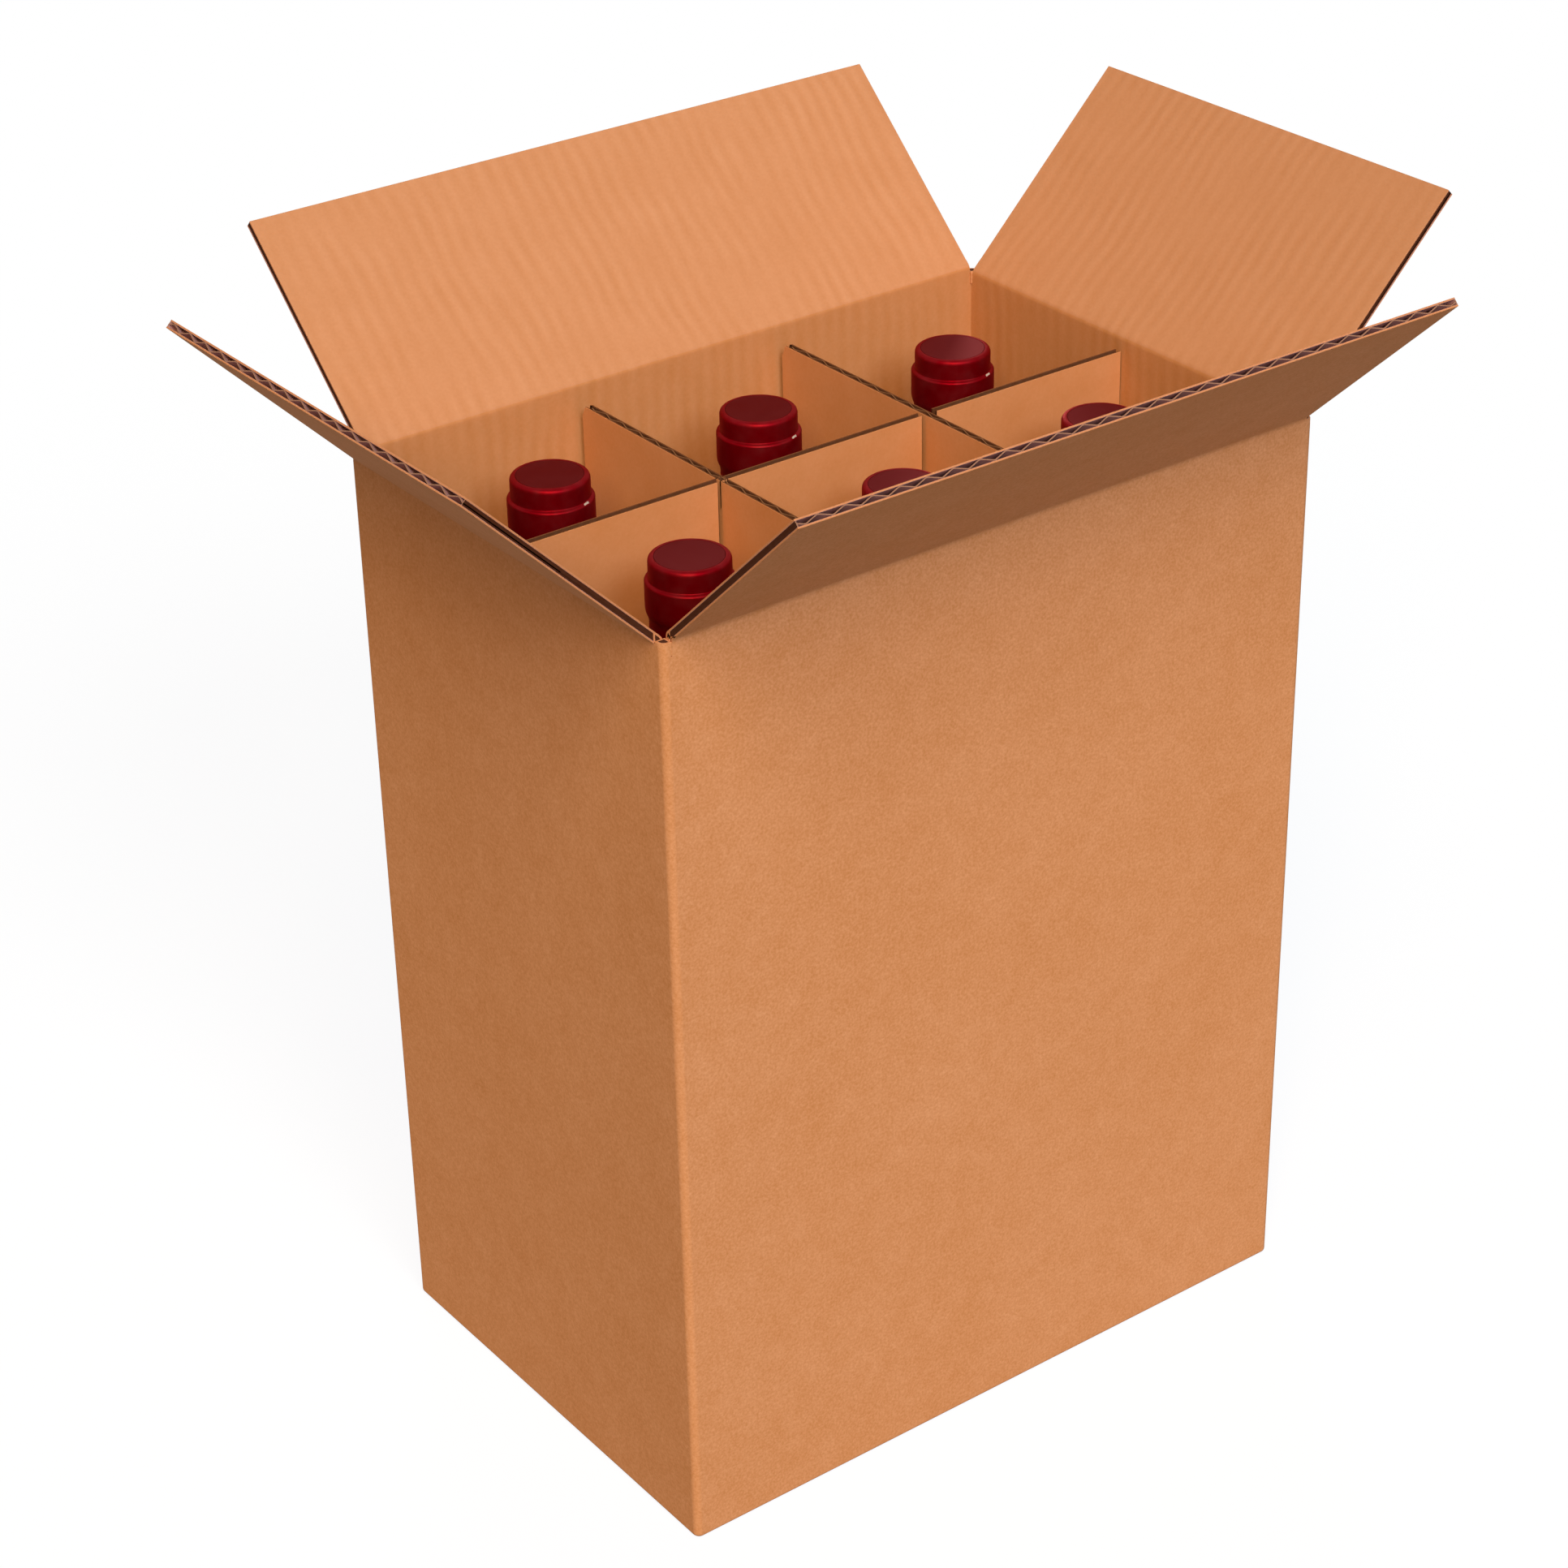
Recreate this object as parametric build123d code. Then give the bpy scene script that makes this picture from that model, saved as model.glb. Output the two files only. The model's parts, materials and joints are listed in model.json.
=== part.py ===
"""Shipping carton for six bottles, open, with its dividers and the bottles in it.

Frame: X along the long walls, Y along the short walls, Z up, origin at the middle of the underside.
The front wall is at -Y, the left wall at -X. All lengths are in millimetres, all angles in degrees.
"""

from build123d import *
from math import atan, ceil, cos, degrees, radians, sin, tan
import os

# Corrugated board: two flat liners with one fluted sheet between them
board = 3.0
liner = 0.6
flute_pitch = 9.5
flute_foot = 0.4  # half of the strip that each flute is glued by
flute_sheet = 0.4

# Bottles, which stand on the floor of the carton
bottle_radius = 35.0
heel_radius = 6.0
stand_ring_width = 3.0
punt_height = 15.0
shoulder_height = 208.0  # above the bottle's own base
shoulder_rise = 47.0
shoulder_share = 0.55  # of the shoulder's curve that is rounded outwards
neck_base_radius = 14.0
neck_length = 69.65  # from the shoulder to the mouth

# Capsules, pulled over the bottles' necks
capsule_wall = 0.4
capsule_play = 0.05
bare_neck = 10.1  # between a capsule and the shoulder
rim_radius = 13.1
rim_round = 1.7
rim_height = 7.5
collar_radius = 14.35
collar_slope = 1.2
collar_height = 8.0
collar_taper = 5.0
neck_radius = 12.8

# Room around the bottles, which sets the size of the carton
middle_bottle_gap = 5.3  # from a middle bottle to the cross dividers
end_bottle_gap = 5.1  # from a cross divider to the bottles at its outer side
end_wall_gap = 8.6  # from those bottles to the end wall
front_wall_gap = 13.6
front_divider_gap = 4.0  # from the front bottles to the long divider
back_divider_gap = 0.4
back_wall_gap = 8.0
capsule_top_clearance = 0.3  # under a closed side flap

# Carton
corner_radius = 2.5
bottom_fold_radius = 1.5
groove_end = 4.0  # from the grooves of the underside to the long walls
flap_inset = 3.65  # from a vertical corner of the carton to the side of a flap
side_flap_length = 87.5  # from its outer crease to its tip
meeting_gap = 0.4  # between two flaps that meet in the middle
glue_tab_width = 35.0
glue_tab_end = 12.0  # from the floor, and from the fold line, to the ends of the glue tab

# Folds: a flap turns on a line inside the board, and both pieces are bevelled away from it
fold_clearance = 0.3
fold_lift = 0.4
main_rest_angle = 47.0  # of the long flaps, outwards from upright
side_rest_angle = 45.0
closing_turn = 90.0  # from upright to closed
opening_turn = 135.0  # from upright to folded back
opening_spare = 5.0
side_score_depth = 0.0  # from the outer face to the line that the flap turns on
main_score_depth = 1.2
overcut = 0.5
cut_reach = 10.0

# Dividers
long_divider_end_gap = 0.4
cross_divider_end_gap = 2.2
divider_floor_gap = 0.3
divider_top_drop = 0.6  # below the tops of the capsules
divider_slot_play = 1.8
divider_seat = 0.2  # between a divider and the side of its slot that it lies at
slot_overlap = 1.0  # by which the two slots of a crossing pass each other
divider_corner_cut_width = 5.0
divider_corner_cut_height = 8.0
long_divider_flute_shift = 1.8  # downwards, so that its top edge cuts a flute open

# Which way each wall faces, as a turn from the back wall
wall_headings = {"back": 0, "left": 90, "front": 180, "right": 270}

# Places along the carton
cross_divider_x = bottle_radius + middle_bottle_gap + board / 2
bottle_x = cross_divider_x + board / 2 + end_bottle_gap + bottle_radius
half_length = bottle_x + bottle_radius + end_wall_gap + board

# Places across the carton
front_room = front_wall_gap + 2 * bottle_radius + front_divider_gap
back_room = back_divider_gap + 2 * bottle_radius + back_wall_gap
half_width = (front_room + back_room + 3 * board) / 2
long_divider_y = front_room + 3 * board / 2 - half_width
front_row_y = long_divider_y - board / 2 - front_divider_gap - bottle_radius
back_row_y = long_divider_y + board / 2 + back_divider_gap + bottle_radius

# Heights
floor_height = 2 * board
bottle_height = shoulder_height + shoulder_rise + neck_length
capsule_height = bottle_height + capsule_play + capsule_wall  # of a capsule's top above the floor
capsule_top = floor_height + capsule_height
side_flap_top = capsule_top + capsule_top_clearance + board
side_axis_height = side_flap_top - side_score_depth
main_axis_height = side_flap_top + fold_clearance + board - main_score_depth
divider_top = capsule_top - divider_top_drop
divider_bottom = floor_height + divider_floor_gap
divider_middle = (divider_top + divider_bottom) / 2

# Flaps, from the fold line to the tip
main_flap_reach = half_width - main_score_depth - meeting_gap / 2
side_flap_reach = side_flap_length + side_score_depth * tan(radians(side_rest_angle / 2))


def block(low, high):
    """A box from its lowest to its highest corner."""
    size = [high[i] - low[i] for i in range(3)]
    return Pos(*low) * Box(*size, align=(Align.MIN, Align.MIN, Align.MIN))


def flute_channel(middle, side):
    """One air channel, a triangle with its base at the liner on one side, -1 or 1."""
    half_gap = board / 2 - liner
    half_base = flute_pitch / 2 - flute_foot
    return Polygon(
        (middle + side * half_base, side * half_gap),
        (middle - side * half_base, side * half_gap),
        (middle, side * (flute_sheet - half_gap)),
        align=None,
    )


def fluted_board(width, height, shift=0.0):
    """A board with its width along X, its thickness along Y and its flutes running up Z from 0."""
    section = Rectangle(width, board)
    count = ceil(width / 2 / flute_pitch) + 1
    for step in range(-count, count + 1):
        middle = step * flute_pitch + shift
        section -= flute_channel(middle, -1)
        section -= flute_channel(middle + flute_pitch / 2, 1)
    return extrude(section, height)


def score_wedge(length, depth):
    """What a fold takes away below its line, which runs along X at a depth under the outer face, +Y."""
    outer = depth + overcut
    inner = board - depth + overcut
    outward_bevel = radians((opening_turn + opening_spare) / 2)
    inward_bevel = radians(closing_turn / 2)
    profile = Polygon(
        (outer, -cut_reach),
        (outer, fold_lift + outer * tan(outward_bevel)),
        (0, fold_lift),
        (-inner, fold_lift + inner * tan(inward_bevel)),
        (-inner, -cut_reach),
        align=None,
    )
    return extrude(Plane.YZ * profile, length / 2, both=True)


def flap(width, reach, depth):
    """A flap standing upright on its fold line, which is the X axis, with its outer face towards +Y."""
    sheet = Pos(0, depth - board / 2, 0) * fluted_board(width, reach)
    return sheet - score_wedge(width + 2 * overcut, depth)


def on_wall(distance, depth, height, side):
    """The place of a wall's fold line, with +Y outwards from the carton."""
    return Rot(0, 0, wall_headings[side]) * Pos(0, distance - depth, height)


def walls():
    """The four walls, rounded at the bottom and cut back at the top to the fold lines of the flaps."""
    outer = extrude(RectangleRounded(2 * half_length, 2 * half_width, corner_radius), main_axis_height)
    outer = fillet(outer.faces().sort_by(Axis.Z)[0].edges(), bottom_fold_radius)
    inner = block(
        (board - half_length, board - half_width, -overcut),
        (half_length - board, half_width - board, main_axis_height + overcut),
    )
    ring = outer - inner
    main_wedge = mirror(score_wedge(2 * (half_length + overcut), main_score_depth), Plane.XY)
    side_wedge = mirror(score_wedge(2 * (half_width + overcut), side_score_depth), Plane.XY)
    for side in ("front", "back"):
        ring -= on_wall(half_width, main_score_depth, main_axis_height, side) * main_wedge
    for side in ("left", "right"):
        ring -= on_wall(half_length, side_score_depth, side_axis_height, side) * side_wedge
    return ring


def outer_bottom_flaps():
    """The two long flaps of the bottom, which meet along the middle of the underside."""
    halves = []
    for side in (-1, 1):
        near = side * meeting_gap / 2
        far = side * (half_width - board)
        halves.append(
            block(
                (board - half_length, min(near, far), 0),
                (half_length - board, max(near, far), board),
            )
        )
    return halves


def inner_bottom_flaps():
    """The two end flaps of the bottom, glued on the long ones, which meet across the floor."""
    halves = []
    for side in (-1, 1):
        near = side * meeting_gap / 2
        far = side * (half_length - board)
        halves.append(
            block(
                (min(near, far), flap_inset - half_width, board),
                (max(near, far), half_width - flap_inset, floor_height),
            )
        )
    return halves


def end_grooves():
    """The grooves of the underside, between the ends of the long flaps and the folds of the end flaps."""
    grooves = []
    for side in (-1, 1):
        flap_end = side * (half_length - flap_inset)
        fold = side * (half_length - bottom_fold_radius)
        section = Polygon(
            (flap_end, -overcut),
            (fold, -overcut),
            (fold, 0),
            (flap_end, board),
            align=None,
        )
        grooves.append(extrude(Plane.XZ * section, half_width - board - groove_end, both=True))
    return grooves


def glue_tab():
    """The tab of the front wall, glued on the inner face of the left wall."""
    return block(
        (board - half_length, board - half_width, floor_height + glue_tab_end),
        (2 * board - half_length, board - half_width + glue_tab_width, side_axis_height - glue_tab_end),
    )


def carton_body():
    """The carton without its top flaps: one folded sheet, glued at the tab and at the bottom."""
    body = walls()
    for piece in (*outer_bottom_flaps(), *inner_bottom_flaps(), glue_tab()):
        body += piece
    for groove in end_grooves():
        body -= groove
    return body


def top_flaps():
    """The four flaps of the top, each opened outwards about its own fold."""
    main = flap(2 * (half_length - flap_inset), main_flap_reach, main_score_depth)
    main = Rot(-main_rest_angle, 0, 0) * main
    side = flap(2 * (half_width - flap_inset), side_flap_reach, side_score_depth)
    side = Rot(-side_rest_angle, 0, 0) * side
    flaps = {}
    for name in ("back", "front"):
        flaps[f"flap_{name}"] = on_wall(half_width, main_score_depth, main_axis_height, name) * main
    for name in ("left", "right"):
        flaps[f"flap_{name}"] = on_wall(half_length, side_score_depth, side_axis_height, name) * side
    return flaps


def crossing_slot(near_x, near_y, size_x, size_y, low, high):
    """A slot through a divider, from its lowest to its highest point."""
    return block((near_x, near_y, low), (near_x + size_x, near_y + size_y, high))


def long_divider():
    """The divider between the two rows, with its flutes level, slotted from above at each crossing."""
    reach = half_length - board - long_divider_end_gap
    sheet = fluted_board(divider_top - divider_bottom, 2 * reach, long_divider_flute_shift)
    sheet = Pos(-reach, long_divider_y, divider_middle) * Rot(0, 90, 0) * sheet
    for side in (-1, 1):
        start = side * cross_divider_x - board / 2 - divider_seat
        sheet -= crossing_slot(
            start,
            long_divider_y - board,
            board + divider_slot_play,
            2 * board,
            divider_middle - slot_overlap / 2,
            divider_top + overcut,
        )
    return sheet


def cross_divider(side):
    """A divider across the carton, slotted from below, with its two top corners cut off."""
    width = 2 * (half_width - board - cross_divider_end_gap)
    height = divider_top - divider_bottom
    sheet = Pos(side * cross_divider_x, 0, divider_bottom) * Rot(0, 0, 90) * fluted_board(width, height)
    sheet -= crossing_slot(
        side * cross_divider_x - board,
        long_divider_y - board / 2 - divider_seat,
        2 * board,
        board + divider_slot_play,
        divider_bottom - overcut,
        divider_middle + slot_overlap / 2,
    )
    for end in (-1, 1):
        corner = Polygon(
            (end * (width / 2 - divider_corner_cut_width), divider_top),
            (end * width / 2, divider_top - divider_corner_cut_height),
            (end * (width / 2 + overcut), divider_top - divider_corner_cut_height),
            (end * (width / 2 + overcut), divider_top + overcut),
            (end * (width / 2 - divider_corner_cut_width), divider_top + overcut),
            align=None,
        )
        sheet -= extrude(Plane.YZ * corner, cross_divider_x + board, both=True)
    return sheet


def turned(outline):
    """The solid that a closed outline of radius and height sweeps about the Z axis."""
    return revolve(Rot(90, 0, 0) * make_face(Curve() + outline), Axis.Z)


def neck_outline(inset):
    """Points of the mouth and neck from the top down, a distance inside the capsule's outer face."""
    collar_top = capsule_height - rim_height - collar_slope
    collar_bottom = collar_top - collar_height
    return [
        (rim_radius - inset, capsule_height - rim_height),
        (collar_radius - inset, collar_top),
        (collar_radius - inset, collar_bottom),
        (neck_radius - inset, collar_bottom - collar_taper),
    ]


def capsule_foot(inset):
    """The capsule's lower edge, on the line along which the neck widens towards the shoulder."""
    neck_top = capsule_height - rim_height - collar_slope - collar_height - collar_taper
    neck_bottom = shoulder_height + shoulder_rise
    widening = (neck_base_radius - neck_radius) / (neck_top - neck_bottom)
    return (neck_base_radius - bare_neck * widening - inset, neck_bottom + bare_neck)


def bottle():
    """A filled bottle, closed under its capsule, as one solid standing at the origin."""
    inset = capsule_wall + capsule_play
    neck = neck_outline(inset)
    lip_round = rim_round - capsule_wall
    neck_base = neck_base_radius - inset
    drop = bottle_radius - neck_base
    turn = 2 * degrees(atan(drop / shoulder_rise))
    radii_sum = shoulder_rise / sin(radians(turn))
    outer_arc = shoulder_share * radii_sum
    inner_arc = radii_sum - outer_arc
    turning_point = (
        bottle_radius - outer_arc * (1 - cos(radians(turn))),
        shoulder_height + outer_arc * sin(radians(turn)),
    )
    shoulder_top = (neck_base, shoulder_height + shoulder_rise)
    heel = bottle_radius - heel_radius
    punt_edge = heel - stand_ring_width
    punt_radius = (punt_edge**2 + punt_height**2) / (2 * punt_height)
    outline = [
        RadiusArc((0, punt_height), (punt_edge, 0), punt_radius),
        Line((punt_edge, 0), (heel, 0)),
        RadiusArc((heel, 0), (bottle_radius, heel_radius), -heel_radius),
        Line((bottle_radius, heel_radius), (bottle_radius, shoulder_height)),
        RadiusArc((bottle_radius, shoulder_height), turning_point, -outer_arc),
        RadiusArc(turning_point, shoulder_top, inner_arc),
        Polyline(shoulder_top, *reversed(neck), (neck[0][0], bottle_height - lip_round)),
        RadiusArc(
            (neck[0][0], bottle_height - lip_round),
            (neck[0][0] - lip_round, bottle_height),
            -lip_round,
        ),
        Polyline((neck[0][0] - lip_round, bottle_height), (0, bottle_height), (0, punt_height)),
    ]
    return turned(outline)


def capsule():
    """The sleeve with a closed top over a bottle's mouth and neck, for a bottle at the origin."""
    top = capsule_height
    outer = neck_outline(0)
    inner = neck_outline(capsule_wall)
    inner_round = rim_round - capsule_wall
    under = top - capsule_wall
    outline = [
        Line((0, under), (0, top)),
        Line((0, top), (outer[0][0] - rim_round, top)),
        RadiusArc((outer[0][0] - rim_round, top), (outer[0][0], top - rim_round), rim_round),
        Polyline((outer[0][0], top - rim_round), *outer, capsule_foot(0)),
        Line(capsule_foot(0), capsule_foot(capsule_wall)),
        Polyline(capsule_foot(capsule_wall), *reversed(inner), (inner[0][0], under - inner_round)),
        RadiusArc(
            (inner[0][0], under - inner_round),
            (inner[0][0] - inner_round, under),
            -inner_round,
        ),
        Line((inner[0][0] - inner_round, under), (0, under)),
    ]
    return turned(outline)


def bottle_places():
    """Where the six bottles stand, by the name of the place."""
    rows = {"front": front_row_y, "back": back_row_y}
    columns = {"left": -bottle_x, "middle": 0.0, "right": bottle_x}
    return {f"{row}_{column}": (x, y) for row, y in rows.items() for column, x in columns.items()}


def carton_pieces():
    """Every piece, by its name."""
    pieces = {"box_body": carton_body(), "long_divider": long_divider()}
    pieces["cross_divider_left"] = cross_divider(-1)
    pieces["cross_divider_right"] = cross_divider(1)
    pieces.update(top_flaps())
    one_bottle = bottle()
    one_capsule = capsule()
    for place, (x, y) in bottle_places().items():
        pieces[f"bottle_{place}"] = Pos(x, y, floor_height) * one_bottle
        pieces[f"capsule_{place}"] = Pos(x, y, floor_height) * one_capsule
    return pieces


os.makedirs("parts", exist_ok=True)
for name, piece in carton_pieces().items():
    export_step(piece, f"parts/{name}.step")
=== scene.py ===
"""A shipping carton for six bottles, open, with its dividers and the bottles in it.

Frame: metres, X along the long walls, Y along the short walls, Z up from the underside.
The front wall is at -Y, the left wall at -X. Boards are modelled standing on the X axis, with
their outer face towards +Y, and are then turned into place.
"""

from math import ceil, cos, pi, radians, sin, tan
import json

import bpy
from mathutils import Matrix, Vector


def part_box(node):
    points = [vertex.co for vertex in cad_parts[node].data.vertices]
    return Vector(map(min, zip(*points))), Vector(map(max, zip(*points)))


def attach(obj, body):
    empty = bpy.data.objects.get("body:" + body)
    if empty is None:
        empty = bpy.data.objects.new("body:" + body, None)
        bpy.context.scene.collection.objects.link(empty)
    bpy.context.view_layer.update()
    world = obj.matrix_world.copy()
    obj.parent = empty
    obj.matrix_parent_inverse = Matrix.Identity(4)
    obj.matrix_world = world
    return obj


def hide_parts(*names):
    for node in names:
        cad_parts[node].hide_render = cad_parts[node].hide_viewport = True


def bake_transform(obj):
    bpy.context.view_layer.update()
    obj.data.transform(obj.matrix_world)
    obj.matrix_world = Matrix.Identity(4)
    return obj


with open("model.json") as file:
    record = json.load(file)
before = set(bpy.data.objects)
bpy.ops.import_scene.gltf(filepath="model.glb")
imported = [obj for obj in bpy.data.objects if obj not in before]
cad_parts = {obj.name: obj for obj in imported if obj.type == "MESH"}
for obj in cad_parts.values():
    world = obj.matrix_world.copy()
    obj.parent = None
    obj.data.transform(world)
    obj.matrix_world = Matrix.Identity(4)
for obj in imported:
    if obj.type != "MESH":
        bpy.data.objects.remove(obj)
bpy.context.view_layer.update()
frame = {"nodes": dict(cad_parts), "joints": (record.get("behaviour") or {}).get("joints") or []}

MM = 0.001
TINY = 0.01 * MM
CUT_TOLERANCE = TINY / 10
MERGE_DISTANCE = TINY / 2

# Corrugated board
BOARD = 3.0 * MM
LINER = 0.6 * MM
LINER_EDGE_ROUNDING = 0.08 * MM
FLUTE_PITCH = 9.5 * MM
FLUTE_FOOT = 0.3 * MM  # half of the flat strip at each crest
FLUTE_SHEET = 0.36 * MM
FLUTE_ROUNDING = 0.25 * MM
FLUTE_SPARE = 2  # half flutes past each side of a board, before they are cut off
CORE_DEPTH = 0.06 * MM  # of the fluting's last flank behind the side of a board

# Carton
CARTON_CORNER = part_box("box_body")[1]
WALLS = {"back": 0, "left": 90, "front": 180, "right": 270}  # degrees from the back wall
LONG_WALLS = ("front", "back")
FLAP_INSET = 3.65 * MM
MEETING_GAP = 0.4 * MM
CLOSING_TURN = 90  # degrees from upright to closed
FOLD_LIFT = 0.4 * MM
OUTWARD_BEVEL = radians(70)
INWARD_BEVEL = radians(45)
CREASE_ROUNDING = 1.6 * MM
CREASE_ROUNDING_SHARE = 0.9  # of the way from a crease's bend to its end, at most

# Corner posts, between the creases
POST_INSETS = (0.03 * MM, 3.6 * MM)  # of the outer and inner sides from the walls' outer faces
POST_ROUNDING = 2.47 * MM
POST_TOP = CARTON_CORNER.z - 0.7 * MM
POST_HEIGHT = 4.4 * MM

# Dividers
LONG_LOW, LONG_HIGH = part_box("long_divider")
CROSS_LOW, CROSS_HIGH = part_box("cross_divider_right")
LONG_Y = (LONG_LOW.y + LONG_HIGH.y) / 2
CROSS_X = (CROSS_LOW.x + CROSS_HIGH.x) / 2
DIVIDER_MIDDLE = (LONG_LOW.z + LONG_HIGH.z) / 2
DIVIDER_HEIGHT = LONG_HIGH.z - LONG_LOW.z
SLOT_PLAY = 1.8 * MM
LONG_SLOT_PLAY = 3.0 * MM
DIVIDER_SEAT = 0.9 * MM
SLOT_OVERLAP = 1.0 * MM
SLOT_SHADE_WIDTH = 0.4 * MM  # of the liner cut away in a recess beside a slot, whose cut faces are painted shade
SLOT_SHADE_DEPTH = 1.0 * MM
CORNER_CUT = (2.0 * MM, 4.0 * MM)
LONG_FLUTE_SHIFT = 1.8 * MM

# Capsules, which all stand at one height
CAPSULE_FOOT, CAPSULE_TOP = [corner.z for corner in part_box("capsule_front_left")]
CAPSULE_WALL = 0.4 * MM
DISC_RADIUS = 11.2 * MM  # of the flat disc within the rim
DISC_GROOVE = 0.12 * MM  # depth of the fine groove around the disc, and half its width
RIM_RADIUS = 13.1 * MM
RIM_ROUND = 1.7 * MM
RIM_HEIGHT = 7.1 * MM
COLLAR_RADIUS = 14.35 * MM
COLLAR_SLOPE = 0.5 * MM
COLLAR_HEIGHT = 10.0 * MM
COLLAR_TAPER = 3.0 * MM
NECK_RADIUS = 13.2 * MM
FOOT_RADIUS = 13.75 * MM
LEDGE_ROUND = 0.3 * MM
COLLAR_ROUND = 0.6 * MM
WAIST_ROUND = 1.2 * MM
FOOT_ROUND = 1.5 * MM
# A small pale tab on each capsule's collar, a painted glint
TAB_SIZE = (0.2 * MM, 2.4 * MM, 0.8 * MM)
TAB_ROUNDING = 0.3 * TAB_SIZE[0]
TAB_TURN = radians(-68)
TAB_LEAN = radians(-25)
TAB_RADIUS = 13.85 * MM

# Steps of the rounded and turned shapes, and the angles in degrees up to which they shade smooth
TURNED_STEPS = 96
CORNER_STEPS = 6
EDGE_STEPS = 1
FLUTE_STEPS = 2
TAB_STEPS = 3
SMOOTH_ANGLE = 40
CREASE_SMOOTH_ANGLE = 50
FLUTE_SMOOTH_ANGLE = 60

# How far a face's normal lies along an axis, where the face looks mostly or squarely that way
MOSTLY = 0.5
SQUARELY = 0.9


# Work on meshes


def deselect_all():
    """Leaves nothing selected and nothing active."""
    bpy.ops.object.select_all(action="DESELECT")
    bpy.context.view_layer.objects.active = None


def only(piece):
    """Selects one object and makes it active."""
    deselect_all()
    piece.select_set(True)
    bpy.context.view_layer.objects.active = piece


def edit_all(piece):
    """Opens an object's mesh for editing with all of it selected."""
    only(piece)
    bpy.ops.object.mode_set(mode="EDIT")
    bpy.ops.mesh.select_all(action="SELECT")


def edit_some(piece, kind, wanted):
    """Opens an object's mesh for editing with only its wanted EDGE or FACE parts selected."""
    only(piece)
    bpy.ops.object.mode_set(mode="EDIT")
    bpy.ops.mesh.select_mode(type=kind)
    bpy.ops.mesh.select_all(action="DESELECT")
    bpy.ops.object.mode_set(mode="OBJECT")
    parts = piece.data.edges if kind == "EDGE" else piece.data.polygons
    for part in parts:
        part.select = wanted(part)
    bpy.ops.object.mode_set(mode="EDIT")


def end_edit():
    """Closes the mesh that is open for editing."""
    bpy.ops.object.mode_set(mode="OBJECT")


def name_piece(piece, name):
    """Names an object and its mesh."""
    piece.name = name
    piece.data.name = name


def apply_place(piece):
    """Puts an object's place, turn and scale into its mesh."""
    only(piece)
    bpy.ops.object.transform_apply(location=True, rotation=True, scale=True)


def apply_modifier(piece, kind, **settings):
    """Adds one modifier and applies it."""
    only(piece)
    modifier = piece.modifiers.new(kind.lower(), kind)
    for name, value in settings.items():
        setattr(modifier, name, value)
    bpy.ops.object.modifier_apply(modifier=modifier.name)


def join(pieces, name):
    """Joins objects into the first and names it."""
    deselect_all()
    for piece in pieces:
        piece.select_set(True)
    bpy.context.view_layer.objects.active = pieces[0]
    bpy.ops.object.join()
    name_piece(pieces[0], name)
    return pieces[0]


def block(name, middle, size):
    """A block of a size about its middle."""
    deselect_all()
    bpy.ops.mesh.primitive_cube_add(size=1, location=middle, scale=size)
    piece = bpy.context.active_object
    name_piece(piece, name)
    apply_place(piece)
    return piece


def closed_line(name, points, fill_type):
    """A closed line through points, which one face fills or none."""
    deselect_all()
    bpy.ops.mesh.primitive_circle_add(vertices=len(points), radius=1, fill_type=fill_type)
    piece = bpy.context.active_object
    name_piece(piece, name)
    for corner, point in zip(piece.data.vertices, points):
        corner.co = point
    return piece


def cut_off(piece, point, normal):
    """Cuts away what lies on the side of a plane to which its normal points, and closes the cut."""
    edit_all(piece)
    bpy.ops.mesh.bisect(
        plane_co=point, plane_no=normal, use_fill=True, clear_outer=True, threshold=CUT_TOLERANCE
    )
    end_edit()


def bevel_edges(piece, size, segments, wanted):
    """Rounds the edges of a mesh whose two ends are both wanted."""
    corners = piece.data.vertices
    edit_some(
        piece, "EDGE", lambda edge: all(wanted(corners[index].co) for index in edge.vertices)
    )
    bpy.ops.mesh.bevel(offset=size, segments=segments, affect="EDGES")
    end_edit()


def smooth(piece, angle=SMOOTH_ANGLE):
    """Shades a mesh smooth up to an angle in degrees."""
    only(piece)
    bpy.ops.object.shade_smooth_by_angle(angle=radians(angle))


def rounded_line(points, rounding):
    """A line with its inner corners rounded; rounding is one size, or one for each inner corner."""
    points = [Vector(point) for point in points]
    sizes = rounding if isinstance(rounding, (list, tuple)) else [rounding] * (len(points) - 2)
    line = [points[0]]
    for index, size in enumerate(sizes, start=1):
        before, corner, after = points[index - 1 : index + 2]
        if size == 0:
            line.append(corner)
            continue
        first = corner + (before - corner).normalized() * size
        last = corner + (after - corner).normalized() * size
        for step in range(CORNER_STEPS + 1):
            share = step / CORNER_STEPS
            line.append(
                first * (1 - share) ** 2 + corner * (2 * share * (1 - share)) + last * share**2
            )
    line.append(points[-1])
    return line


# Finishes

PALING = 0.6  # how much of a change in brightness goes the other way in saturation
MIX_COLOUR_INPUTS = (6, 7)  # places of the Mix node's two colours among its sockets
MIX_COLOUR_OUTPUT = 2


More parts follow.
